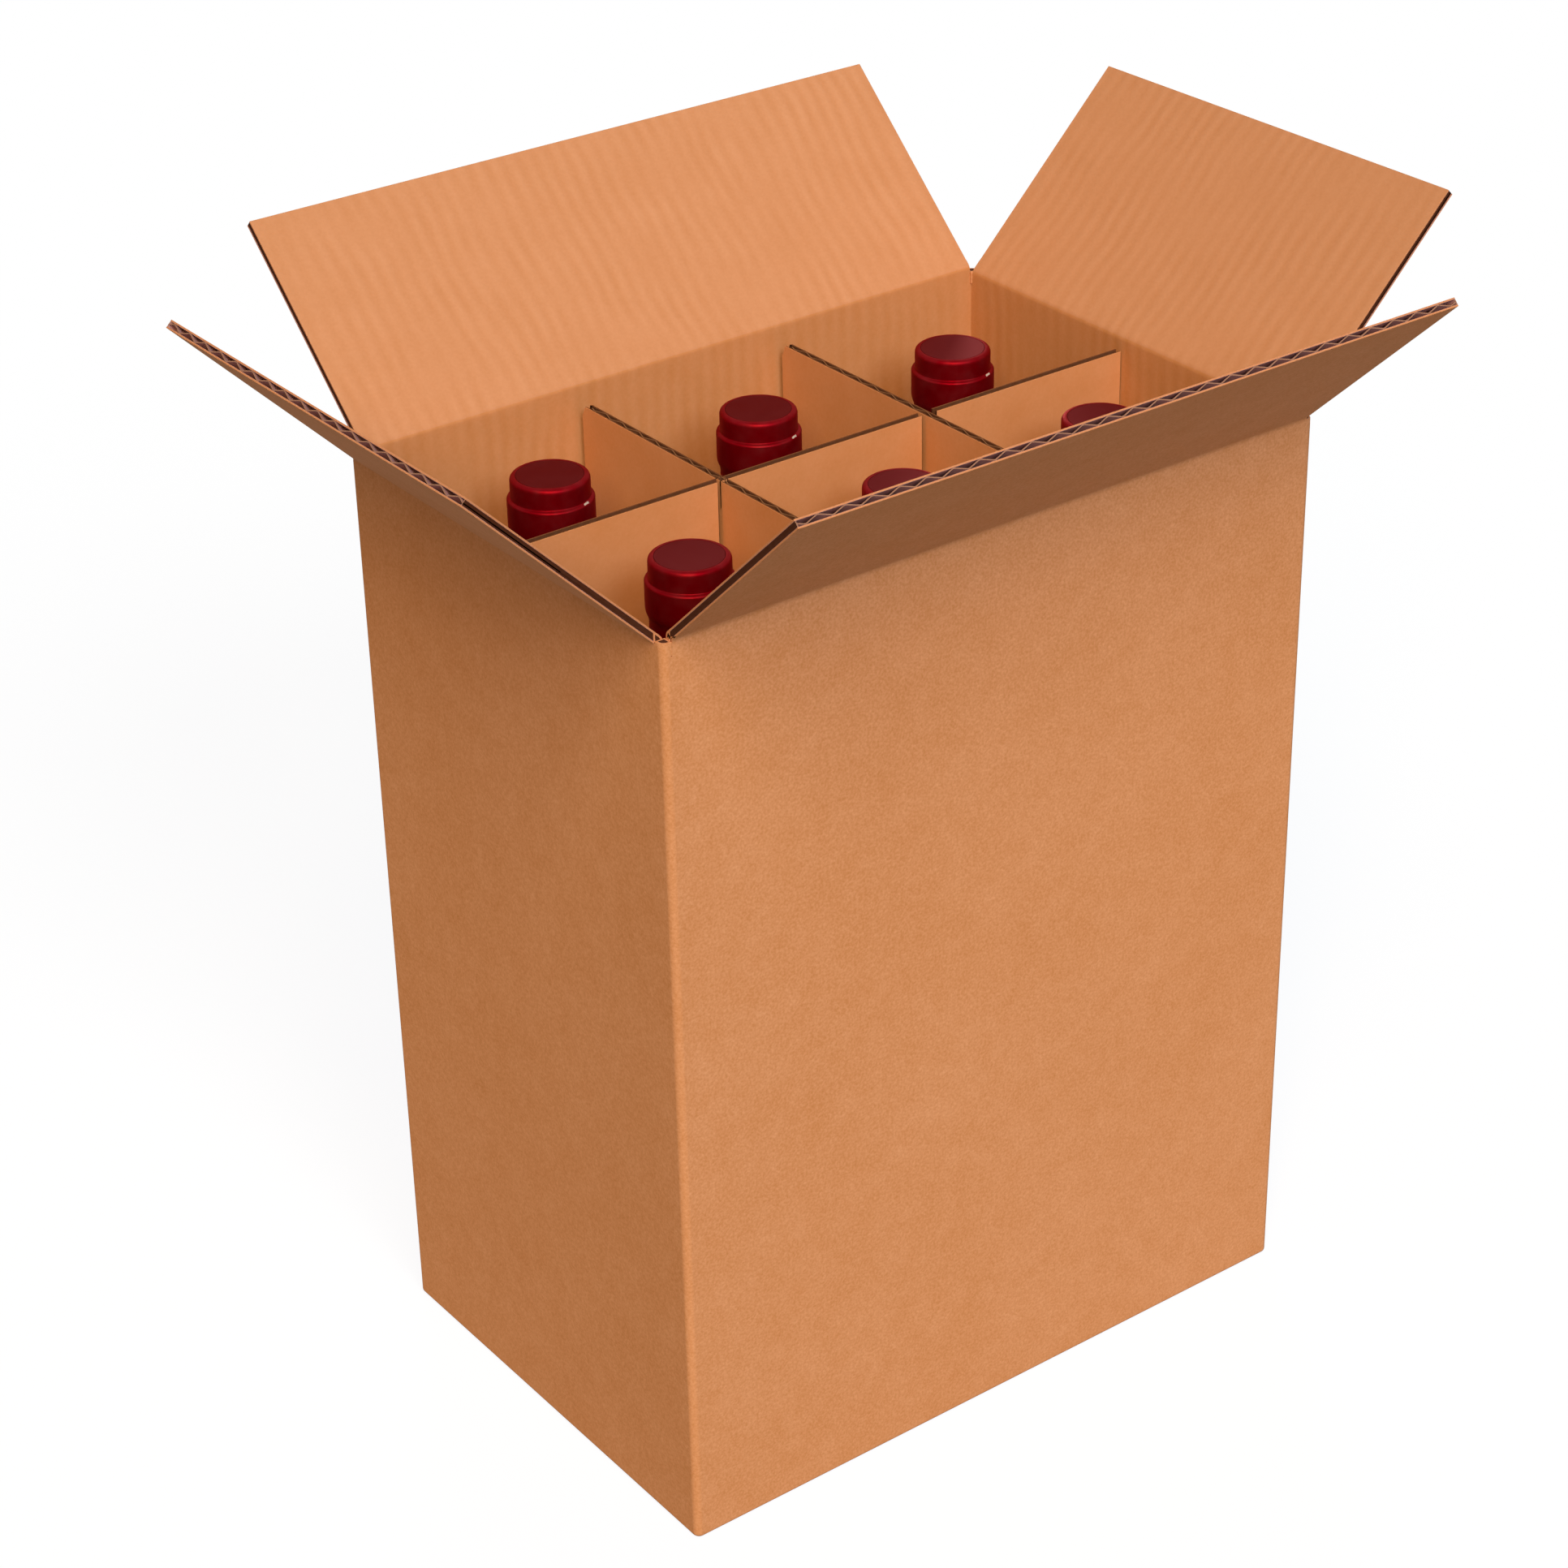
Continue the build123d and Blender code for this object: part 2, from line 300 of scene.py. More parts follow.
class Nodes:
    """A node tree in the making, with short ways to add and feed its nodes."""

    def __init__(self, tree):
        self.tree = tree

    def feed(self, node, socket, value):
        """Links a socket, or sets it to a plain value."""
        if isinstance(value, bpy.types.NodeSocket):
            self.tree.links.new(value, node.inputs[socket])
        else:
            node.inputs[socket].default_value = value

    def add(self, kind, inputs=None, **settings):
        """Adds a node with its settings and inputs."""
        node = self.tree.nodes.new(kind)
        for name, value in settings.items():
            setattr(node, name, value)
        for socket, value in (inputs or {}).items():
            self.feed(node, socket, value)
        return node

    def math(self, operation, *values):
        """One Math node's result."""
        inputs = dict(enumerate(values))
        return self.add("ShaderNodeMath", inputs, operation=operation).outputs[0]

    def mixed(self, share, first, second):
        """The first value where the share is 0 and the second where it is 1."""
        inputs = {"Factor": share, "A": first, "B": second}
        return self.add("ShaderNodeMix", inputs, data_type="FLOAT").outputs[0]

    def mixed_colours(self, share, first, second):
        """The first colour where the share is 0 and the second where it is 1."""
        inputs = {0: share, **dict(zip(MIX_COLOUR_INPUTS, (first, second)))}
        return self.add("ShaderNodeMix", inputs, data_type="RGBA").outputs[MIX_COLOUR_OUTPUT]

    def mixed_shaders(self, share, first, second):
        """The first shader where the share is 0 and the second where it is 1."""
        inputs = {0: share, 1: first.outputs[0], 2: second.outputs[0]}
        return self.add("ShaderNodeMixShader", inputs)

    def seen_directly(self):
        """1 for the camera, in reflections and through glass, 0 for the light that bounces."""
        rays = self.add("ShaderNodeLightPath").outputs
        seen = self.math("MAXIMUM", rays["Is Camera Ray"], rays["Is Glossy Ray"])
        return self.math("MAXIMUM", seen, rays["Is Transmission Ray"])


class Finish(Nodes):
    """A material in the making."""

    def __init__(self, name):
        self.material = bpy.data.materials.new(name)
        self.material.use_nodes = True
        super().__init__(self.material.node_tree)
        self.shader = self.tree.nodes["Principled BSDF"]
        self.coordinates = self.add("ShaderNodeTexCoord").outputs
        self.place = self.coordinates["Object"]

    def noise(self, size, detail, roughness=0.5):
        """Noise from 0 to 1 with blots of about a size in metres."""
        inputs = {"Vector": self.place, "Scale": 1 / size, "Detail": detail}
        inputs["Roughness"] = roughness
        return self.add("ShaderNodeTexNoise", inputs).outputs["Fac"]

    def vary(self, patterns, middle=1.0):
        """The middle value, raised and lowered by each pattern from 0 to 1 times its weight."""
        total = middle - sum(weight for _, weight in patterns) / 2
        for pattern, weight in patterns:
            total = self.math("MULTIPLY_ADD", pattern, weight, total)
        return total

    def shaded(self, colour, factor):
        """A colour, brighter and paler or darker and deeper by a factor."""
        depth = self.math("MULTIPLY_ADD", factor, -PALING, 1 + PALING)
        inputs = {"Color": (*colour, 1.0), "Value": factor, "Saturation": depth}
        return self.add("ShaderNodeHueSaturation", inputs).outputs["Color"]

    def dress(self, looks):
        """Feeds the shader's sockets by their names."""
        for socket, value in looks.items():
            self.feed(self.shader, socket, value)

    def bump(self, height, distance, strength):
        """Relief from a height pattern, of a depth in metres."""
        inputs = {"Height": height, "Distance": distance, "Strength": strength}
        self.dress({"Normal": self.add("ShaderNodeBump", inputs).outputs["Normal"]})


# Colours
KRAFT_OUTSIDE = (0.700, 0.320, 0.147)
KRAFT_INSIDE = (0.610, 0.285, 0.144)
KRAFT_WALL_INSIDE = (0.610, 0.270, 0.110)
KRAFT_DIVIDER = (0.660, 0.285, 0.118)
KRAFT_CUT = (0.640, 0.280, 0.140)
FLUTING = (0.500, 0.280, 0.290)
FLUTING_CUT = (0.350, 0.185, 0.130)
# Painted shade: the near-black core colour stands for the shade deep in the flute channels, where a
# board is cut through
FLAP_CORE_SHADE = (0.065, 0.019, 0.008)
# Painted shade: the dividers' fluting and cut edges are darker copies of the flaps' ones, for a dark
# line along the dividers' tops
SHADED_DIVIDER_FLUTING = (0.120, 0.045, 0.020)
SHADED_DIVIDER_FLUTING_CUT = (0.260, 0.120, 0.055)
# Painted shade: near black, for the shade deep in the dividers' flute channels and in their slots
DIVIDER_CORE_SHADE = (0.055, 0.012, 0.004)
SHADED_DIVIDER_CUT = (0.200, 0.072, 0.026)
FOIL = (0.180, 0.0026, 0.0060)
# Painted shade: a darker copy of the foil colour for the flat top disc
SHADED_DISC = (0.085, 0.0030, 0.0040)
FOIL_EDGE = (1.0, 0.22, 0.28)  # the tint of what it reflects at a flat angle
# Painted highlight: a pale colour for a small tab on each capsule's collar, where a glint shows
PAINTED_GLINT = (0.55, 0.47, 0.43)
GLASS = (0.004, 0.016, 0.006)

# Noises: the size of their blots, their detail and their roughness
OUTSIDE_GRAIN = (0.9 * MM, 3.0, 0.65)
OUTSIDE_CLOUD = (9 * MM, 3.0, 0.6)
OUTSIDE_WASH = (70 * MM, 1.0)
INNER_GRAIN = (1.2 * MM, 2.0, 0.6)
INSIDE_CLOUD = (14 * MM, 3.0, 0.6)
DIVIDER_CLOUD = (18 * MM, 3.0, 0.6)
RIB_DRIFT = (38 * MM, 1.5)
RIB_PATCHES = (22 * MM, 2.0)
FOIL_CLOUD = (6 * MM, 2.0)
FOIL_GRAIN = (0.5 * MM, 2.0)
GLASS_WAVE = (25 * MM, 1.0)
FIBRE_NOISE = (3.0, 0.7)  # without the size, which differs
CUT_FIBRE = 0.5 * MM
SHEET_FIBRE = 2.0 * MM
GLINT_TAB_FIBRE = 0.6 * MM

# Roughness and relief about which the patterns vary
OUTSIDE_ROUGHNESS = 0.85
INNER_ROUGHNESS = 0.8
RAW_ROUGHNESS = 0.92
FOIL_ROUGHNESS = 0.45
GLASS_ROUGHNESS = 0.05
RELIEF_LEVEL = 0.5

# Reliefs: their depth and strength
LINER_RELIEF = (0.1 * MM, 0.6)
RAW_RELIEF = (0.08 * MM, 0.6)
FOIL_RELIEF = (0.02 * MM, 0.5)
GLASS_RELIEF = (0.6 * MM, 0.4)

# Gloss
LINER_SPECULAR = 0.25
RAW_SPECULAR = 0.15
FOIL_SPECULAR = 0.1
FOIL_METALLIC = 0.6
GLASS_IOR = 1.52

# Ribs on the inner liner
RIB_PERIOD = 6.2 * MM
RIB_WANDER = 8.0  # radians by which the drift shifts them
RIB_STRENGTH = 0.4
RIB_UNEVENNESS = 1.6


def grain_pattern(finish):
    """The outer liner: a fine mottled grain, as its brightness, roughness and relief."""
    grain = finish.noise(*OUTSIDE_GRAIN)
    cloud = finish.noise(*OUTSIDE_CLOUD)
    wash = finish.noise(*OUTSIDE_WASH)
    brightness = finish.vary([(grain, 0.46), (cloud, 0.14), (wash, 0.08)])
    roughness = finish.vary([(grain, 0.2)], OUTSIDE_ROUGHNESS)
    return brightness, roughness, finish.vary([(grain, 0.5)], RELIEF_LEVEL)


def ribs(finish):
    """Faint washboard ribs that run along the flutes, one pattern for every inner face."""
    place = finish.add("ShaderNodeSeparateXYZ", {0: finish.place}).outputs
    normal = finish.add("ShaderNodeSeparateXYZ", {0: finish.coordinates["Normal"]}).outputs
    along_x = finish.math(
        "GREATER_THAN",
        finish.math("ABSOLUTE", normal["Y"]),
        finish.math("ABSOLUTE", normal["X"]),
    )
    across = finish.mixed(along_x, place["Y"], place["X"])
    turns = finish.math("MULTIPLY", across, 2 * pi / RIB_PERIOD)
    phase = finish.math("MULTIPLY_ADD", finish.noise(*RIB_DRIFT), RIB_WANDER, turns)
    strength = finish.vary([(finish.noise(*RIB_PATCHES), RIB_UNEVENNESS)], RIB_STRENGTH)
    return finish.math("MULTIPLY_ADD", finish.math("SINE", phase), strength, RELIEF_LEVEL)


def ribbed_pattern(finish):
    """The inner liner of the carton: washboard ribs under a faint cloud."""
    grain = finish.noise(*INNER_GRAIN)
    cloud = finish.noise(*INSIDE_CLOUD)
    rib = ribs(finish)
    brightness = finish.vary([(grain, 0.10), (cloud, 0.10), (rib, 0.05)])
    roughness = finish.vary([(cloud, 0.2)], INNER_ROUGHNESS)
    return brightness, roughness, finish.vary([(grain, 0.3), (rib, 0.7)], RELIEF_LEVEL)


def plain_pattern(finish):
    """The liner of the dividers: plain, with faint blotches."""
    grain = finish.noise(*INNER_GRAIN)
    cloud = finish.noise(*DIVIDER_CLOUD)
    brightness = finish.vary([(grain, 0.08), (cloud, 0.16)])
    roughness = finish.vary([(cloud, 0.2)], INNER_ROUGHNESS)
    return brightness, roughness, finish.vary([(grain, 0.5)], RELIEF_LEVEL)


def liner(finish, colour, roughness, relief):
    """The material of a liner from its colour, roughness and relief."""
    finish.dress(
        {"Base Color": colour, "Roughness": roughness, "Specular IOR Level": LINER_SPECULAR}
    )
    finish.bump(relief, *LINER_RELIEF)
    return finish.material


def kraft_paper(name, pattern, colour):
    """Kraft liner with one pattern."""
    finish = Finish(name)
    brightness, roughness, relief = pattern(finish)
    return liner(finish, finish.shaded(colour, brightness), roughness, relief)


def wall_paper(name, outer_colour, inner_colour):
    """Kraft liner of the carton's walls and bottom: the grain outside and the ribs inside."""
    finish = Finish(name)
    place = finish.add("ShaderNodeSeparateXYZ", {0: finish.place}).outputs
    skin = BOARD / 2
    bottom_skin = BOARD + skin  # the bottom is two boards thick
    from_middle_x = finish.math("ABSOLUTE", place["X"])
    from_middle_y = finish.math("ABSOLUTE", place["Y"])
    within_x = finish.math("LESS_THAN", from_middle_x, CARTON_CORNER.x - skin)
    within_y = finish.math("LESS_THAN", from_middle_y, CARTON_CORNER.y - skin)
    above = finish.math("GREATER_THAN", place["Z"], bottom_skin)
    inside = finish.math("MULTIPLY", finish.math("MULTIPLY", within_x, within_y), above)
    outer_brightness, *outer = grain_pattern(finish)
    inner_brightness, *inner = ribbed_pattern(finish)
    outer_paper = finish.shaded(outer_colour, outer_brightness)
    inner_paper = finish.shaded(inner_colour, inner_brightness)
    roughness, relief = [finish.mixed(inside, *pair) for pair in zip(outer, inner)]
    colour = finish.mixed_colours(inside, outer_paper, inner_paper)
    return liner(finish, colour, roughness, relief)


def raw_paper(name, colour, size):
    """Bare cut or inner paper: matt, with fibres of about a size."""
    finish = Finish(name)
    fibre = finish.noise(size, *FIBRE_NOISE)
    finish.dress({
        "Base Color": finish.shaded(colour, finish.vary([(fibre, 0.5)])),
        "Roughness": finish.vary([(fibre, 0.1)], RAW_ROUGHNESS),
        "Specular IOR Level": RAW_SPECULAR,
    })
    finish.bump(fibre, *RAW_RELIEF)
    return finish.material


def lacquered_foil(name, colour):
    """Metal foil with a satin lacquer."""
    finish = Finish(name)
    cloud = finish.noise(*FOIL_CLOUD)
    grain = finish.noise(*FOIL_GRAIN)
    finish.dress({
        "Base Color": finish.shaded(colour, finish.vary([(cloud, 0.25)])),
        "Roughness": finish.vary([(cloud, 0.08)], FOIL_ROUGHNESS),
        "Metallic": FOIL_METALLIC,
        "Specular IOR Level": FOIL_SPECULAR,
        "Specular Tint": (*FOIL_EDGE, 1.0),
    })
    finish.bump(finish.vary([(grain, 0.2), (cloud, 0.8)], RELIEF_LEVEL), *FOIL_RELIEF)
    return finish.material


def dark_glass(name, colour):
    """Dark glass, full and so nearly opaque, with the slow waves of moulded glass."""
    finish = Finish(name)
    wave = finish.noise(*GLASS_WAVE)
    finish.dress({
        "Base Color": finish.shaded(colour, finish.vary([(wave, 0.4)])),
        "Roughness": finish.vary([(wave, 0.03)], GLASS_ROUGHNESS),
        "IOR": GLASS_IOR,
    })
    finish.bump(wave, *GLASS_RELIEF)
    return finish.material


FINISHES = {
    "outside": kraft_paper("kraft_outside", grain_pattern, KRAFT_OUTSIDE),
    "inside": kraft_paper("kraft_inside", ribbed_pattern, KRAFT_INSIDE),
    "walls": wall_paper("kraft_walls", KRAFT_OUTSIDE, KRAFT_WALL_INSIDE),
    "divider": kraft_paper("kraft_divider", plain_pattern, KRAFT_DIVIDER),
    "cut": raw_paper("liner_cut", KRAFT_CUT, CUT_FIBRE),
    "fluting": raw_paper("fluting", FLUTING, SHEET_FIBRE),
    "fluting_cut": raw_paper("fluting_cut", FLUTING_CUT, CUT_FIBRE),
    # The flaps' core finish is painted shade of the flute channels
    "flap_core_shade": raw_paper("flap_core_shade", FLAP_CORE_SHADE, SHEET_FIBRE),
    # The dividers' fluting and cut finishes are darker copies, painted shade
    "shaded_divider_fluting": raw_paper("shaded_divider_fluting", SHADED_DIVIDER_FLUTING, SHEET_FIBRE),
    "shaded_divider_fluting_cut": raw_paper("shaded_divider_fluting_cut", SHADED_DIVIDER_FLUTING_CUT, CUT_FIBRE),
    # The dividers' core finish is painted shade of the flute channels and slots
    "divider_core_shade": raw_paper("divider_core_shade", DIVIDER_CORE_SHADE, SHEET_FIBRE),
    "shaded_divider_cut": raw_paper("shaded_divider_cut", SHADED_DIVIDER_CUT, CUT_FIBRE),
    "foil": lacquered_foil("capsule_foil", FOIL),
    "shaded_disc": lacquered_foil("capsule_shaded_disc", SHADED_DISC),
    # The pale tab's finish is a painted glint
    "painted_glint": raw_paper("painted_glint", PAINTED_GLINT, GLINT_TAB_FIBRE),
    "glass": dark_glass("bottle_glass", GLASS),
}

# The finishes of a board, and the place of each in the list; the core finish is painted shade of the
# flute channels
FLAP_FINISHES = ["outside", "inside", "cut", "fluting", "fluting_cut", "flap_core_shade"]
# The dividers' cut and fluting finishes are painted shade
DIVIDER_FINISHES = [
    "divider", "divider", "shaded_divider_cut", "shaded_divider_fluting", "shaded_divider_fluting_cut", "divider_core_shade"
]
OUTER_FACE, INNER_FACE, CUT_FACE, FLUTING_FACE, FLUTING_CUT_FACE, CORE_SHADE_FACE = range(6)

# The finishes of a folded stretch of board, whose fluting doesn't show; the first three are as
# above, and the dark core is painted shade of the flute channels
FOLD_FINISHES = ["outside", "inside", "cut", "flap_core_shade"]
CREASE_FINISHES = [*FOLD_FINISHES, "walls"]
FOLD_CORE_SHADE_FACE = 3
CREASE_WALL_FACE = 4


def give_finishes(piece, names):
    """Fills a mesh's material slots in order."""
    piece.data.materials.clear()
    for name in names:
        piece.data.materials.append(FINISHES[name])


# Corrugated boards


def liner_sheet(width, height, side):
    """One flat liner with its edges rounded; side is -1 for the inner one, 1 for the outer one."""
    middle = (0, side * (BOARD - LINER) / 2, height / 2)
    sheet = block("liner", middle, (width, LINER, height))
    rounding = {"width": LINER_EDGE_ROUNDING, "segments": EDGE_STEPS}
    apply_modifier(sheet, "BEVEL", limit_method="ANGLE", **rounding)
    return sheet


def flute_line(width, shift):
    """Points of the fluted sheet's middle line, crest to crest, a little wider than the board."""
    crest = BOARD / 2 - LINER - FLUTE_SHEET / 2 - TINY
    count = ceil(width / FLUTE_PITCH) + FLUTE_SPARE
    points = []
    for step in range(-count, count + 1):
        middle = step * FLUTE_PITCH / 2 + shift
        side = 1 if step % 2 == 0 else -1
        points.append((middle - FLUTE_FOOT, side * crest))
        points.append((middle + FLUTE_FOOT, side * crest))
    return points


def fluted_sheet(width, height, shift):
    """The fluted sheet of a board, cut off at the board's sides."""
    points = flute_line(width, shift)
    spans = len(points) - 1
    deselect_all()
    bpy.ops.mesh.primitive_grid_add(x_subdivisions=spans, y_subdivisions=1, size=1)
    sheet = bpy.context.active_object
    left_end = -1 / 2  # of a grid of size 1 about the origin
    for corner in sheet.data.vertices:
        column = round((corner.co.x - left_end) * spans)
        corner.co = (*points[column], height if corner.co.y > 0 else 0)
    edit_all(sheet)
    bpy.ops.mesh.bevel(offset=FLUTE_ROUNDING, segments=FLUTE_STEPS, affect="EDGES")
    end_edit()
    apply_modifier(sheet, "SOLIDIFY", thickness=FLUTE_SHEET, offset=0)
    for side in (-1, 1):
        cut_off(sheet, (side * (width / 2 - CORE_DEPTH), 0, 0), (side, 0, 0))
    smooth(sheet, FLUTE_SMOOTH_ANGLE)
    return sheet


def last_flank(width, height, side):
    """The last flank of the fluting, which closes one side of a board."""
    middle = (side * (width / 2 - CORE_DEPTH - FLUTE_SHEET / 2), 0, height / 2)
    size = (FLUTE_SHEET, BOARD - 2 * LINER - TINY, height - 2 * CORE_DEPTH)
    return block("flank", middle, size)


def paint_board(board, width, finishes):
    """Gives every face of an unturned board its finish: liner faces, cut edges and fluting."""
    give_finishes(board, finishes)
    liner_middle = BOARD / 2 - LINER / 2
    liner_back = BOARD / 2 - LINER
    for face in board.data.polygons:
        level = face.center.y
        flat = abs(face.normal.y) > MOSTLY
        at_side = abs(face.center.x) > width / 2 - 2 * CORE_DEPTH
        if flat and abs(level) > liner_middle:
            face.material_index = OUTER_FACE if level > 0 else INNER_FACE
        elif abs(level) > liner_back and not flat:
            face.material_index = CUT_FACE
        # The last flank at a board's side takes the core colour, painted shade of the flute channels
        elif abs(face.normal.x) > SQUARELY and at_side:
            face.material_index = CORE_SHADE_FACE
        elif abs(face.normal.z) > SQUARELY:
            face.material_index = FLUTING_CUT_FACE
        else:
            face.material_index = FLUTING_FACE


def fluted_board(name, width, height, finishes, shift=0.0):
    """A board with its width along X and its flutes running up from the X axis."""
    sheets = [liner_sheet(width, height, side) for side in (1, -1)]
    flanks = [last_flank(width, height, side) for side in (1, -1)]
    board = join([*sheets, *flanks, fluted_sheet(width, height, shift)], name)
    paint_board(board, width, finishes)
    return board


# Flaps, creases and corner posts


def fold_joint(side):
    """The joint that a wall's flap turns on."""
    return next(joint for joint in frame["joints"] if joint["child"] == f"{side}_flap")


def fold_place(side):
    """The place of a wall's fold line, with +Y outwards from the carton."""
    point = Vector(fold_joint(side)["pos_m"])
    return Matrix.Translation(point) @ Matrix.Rotation(radians(WALLS[side]), 4, "Z")


def rest_angle(side):
    """How far a flap is opened outwards from upright."""
    return radians(-fold_joint(side)["range_deg"][0] - CLOSING_TURN)


def fold_depth(side):
    """How far a flap's fold line lies under the outer face of its wall."""
    point = fold_place(side).translation
    face = CARTON_CORNER.y if side in LONG_WALLS else CARTON_CORNER.x
    return face - max(abs(point.x), abs(point.y))


def flap_width(side):
    """The width of a flap along its fold."""
    wall = CARTON_CORNER.x if side in LONG_WALLS else CARTON_CORNER.y
    return 2 * (wall - FLAP_INSET)


def flap_reach(side):
    """The length of a flap from its fold line to its tip."""
    if side in LONG_WALLS:
        return CARTON_CORNER.y - fold_depth(side) - MEETING_GAP / 2
    return CARTON_CORNER.y


def top_flap(side):
    """One top flap, bevelled away from its fold line and opened outwards."""
    board = fluted_board(f"{side}_flap_board", flap_width(side), flap_reach(side), FLAP_FINISHES)
    board.data.transform(Matrix.Translation((0, fold_depth(side) - BOARD / 2, 0)))
    lowest = (0, 0, FOLD_LIFT)
    cut_off(board, lowest, (0, sin(OUTWARD_BEVEL), -cos(OUTWARD_BEVEL)))
    cut_off(board, lowest, (0, -sin(INWARD_BEVEL), -cos(INWARD_BEVEL)))
    board.data.transform(fold_place(side) @ Matrix.Rotation(-rest_angle(side), 4, "X"))
    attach(board, f"{side}_flap")
    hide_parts(f"flap_{side}")


def crease_outline(depth, angle):
    """The outline of a crease across its fold, as (outwards, up) from the fold line."""
    under = BOARD - depth
    opened = Matrix.Rotation(-angle, 2)
    lean = tan(angle / 2)
    outer_end = FOLD_LIFT + depth * tan(OUTWARD_BEVEL)
    inner_end = FOLD_LIFT + under * tan(INWARD_BEVEL)
    outer = [(depth, -outer_end), (depth, -depth * lean), opened @ Vector((depth, outer_end))]
    inner = [opened @ Vector((-under, inner_end)), (-under, under * lean), (-under, -inner_end)]
    outer_room = CREASE_ROUNDING_SHARE * (outer_end - depth * lean)
    inner_room = CREASE_ROUNDING_SHARE * (inner_end - under * lean)
    return (
        rounded_line(outer, min(CREASE_ROUNDING, outer_room))
        + [opened @ Vector((0, FOLD_LIFT))]
        + rounded_line(inner, min(CREASE_ROUNDING, inner_room))
        + [Vector((0, -FOLD_LIFT))]
    )


def show_core_shade(piece, is_cut):
    """Paints the cut liners on the faces that are cut through a board, and within them a dark inset
    that is painted shade of the flute channels.
    """
    for face in piece.data.polygons:
        if is_cut(face):
            face.material_index = CUT_FACE
    piece.active_material_index = FOLD_CORE_SHADE_FACE
    edit_some(piece, "FACE", is_cut)
    bpy.ops.mesh.inset(thickness=LINER)
    bpy.ops.object.material_slot_assign()
    end_edit()


def crease(side):
    """The creased strip of board between a wall and its flap, bent to the flap's resting angle."""
    angle = rest_angle(side)
    outline = crease_outline(fold_depth(side), angle)
    width = flap_width(side)
    strip = closed_line(f"{side}_crease", [(-width / 2, *point) for point in outline], "NGON")
    edit_all(strip)
    bpy.ops.mesh.extrude_region_move(TRANSFORM_OT_translate={"value": (width, 0, 0)})
    bpy.ops.mesh.select_all(action="SELECT")
    bpy.ops.mesh.normals_make_consistent(inside=False)
    end_edit()
    lean = Vector((0, sin(angle / 2), cos(angle / 2)))
    give_finishes(strip, CREASE_FINISHES)
    for face in strip.data.polygons:
        if face.center.y > 0 and face.normal.z < MOSTLY:
            face.material_index = OUTER_FACE
        else:
            face.material_index = CREASE_WALL_FACE if face.center.dot(lean) < 0 else INNER_FACE
    # The strip's ends get a dark inset, painted shade of the flute channels
    show_core_shade(strip, lambda face: abs(face.normal.x) > MOSTLY)
    smooth(strip, CREASE_SMOOTH_ANGLE)
    place = fold_place(side)
    strip.data.transform(place)
    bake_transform(strip)


def corner_post(name, side_x, side_y):
    """The top of a corner of the carton, where the board turns between two creases."""
    outer, inner = [CARTON_CORNER - Vector((inset, inset, 0)) for inset in POST_INSETS]
    size = (outer.x - inner.x, outer.y - inner.y, POST_HEIGHT)
    middle = (side_x * (outer.x + inner.x) / 2, side_y * (outer.y + inner.y) / 2)
    post = block(name, (*middle, POST_TOP - POST_HEIGHT / 2), size)
    bevel_edges(
        post,
        POST_ROUNDING,
        CORNER_STEPS,
        lambda point: side_x * point.x > outer.x - TINY and side_y * point.y > outer.y - TINY,
    )
    bevel_edges(post, LINER_EDGE_ROUNDING, EDGE_STEPS, lambda point: point.z > POST_TOP - TINY)
    give_finishes(post, FOLD_FINISHES)
    # The post's top gets a dark inset, painted shade that joins the flaps' dark ends at the corner
    show_core_shade(post, lambda face: face.normal.z > SQUARELY)
    smooth(post)
    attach(post, "carton")


# Dividers


def slot_through(board, low, high):
    """Cuts a slot through a board, between two corners, and paints the cut faces with the dark core
    colour, painted shade.
    """
    low, high = Vector(low), Vector(high)
    cutter = block("cutter", (low + high) / 2, high - low)
    give_finishes(cutter, DIVIDER_FINISHES)
    for face in cutter.data.polygons:
        face.material_index = CORE_SHADE_FACE
    apply_modifier(board, "BOOLEAN", object=cutter, operation="DIFFERENCE", solver="EXACT")
    bpy.data.objects.remove(cutter)


def finish_divider(board, node):
    """Hands a divider over as the piece that stands for a node."""
    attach(board, "carton")
    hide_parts(node)


def long_divider():
    """The divider between the two rows, with level flutes, slotted from above."""
    reach = LONG_HIGH.x - LONG_LOW.x
    board = fluted_board(
        "long_divider_board", DIVIDER_HEIGHT, reach, DIVIDER_FINISHES, LONG_FLUTE_SHIFT
    )
    turn = Matrix.Rotation(radians(90), 4, "Y")
    board.data.transform(Matrix.Translation((LONG_LOW.x, LONG_Y, DIVIDER_MIDDLE)) @ turn)
    above = LONG_HIGH.z + BOARD
    for side in (-1, 1):
        start = side * CROSS_X - BOARD / 2 - DIVIDER_SEAT
        slot_through(
            board,
            (start, LONG_Y - BOARD, DIVIDER_MIDDLE - SLOT_OVERLAP / 2),
            (start + BOARD + LONG_SLOT_PLAY, LONG_Y + BOARD, above),
        )
        # A shallow recess beside the slot, its cut faces painted dark: painted shade where the
        # boards cross
        slot_through(
            board,
            (start - SLOT_SHADE_WIDTH, LONG_Y - BOARD, DIVIDER_MIDDLE),
            (start + SLOT_PLAY / 2, LONG_Y - BOARD / 2 + SLOT_SHADE_DEPTH, above),
        )
    finish_divider(board, "long_divider")


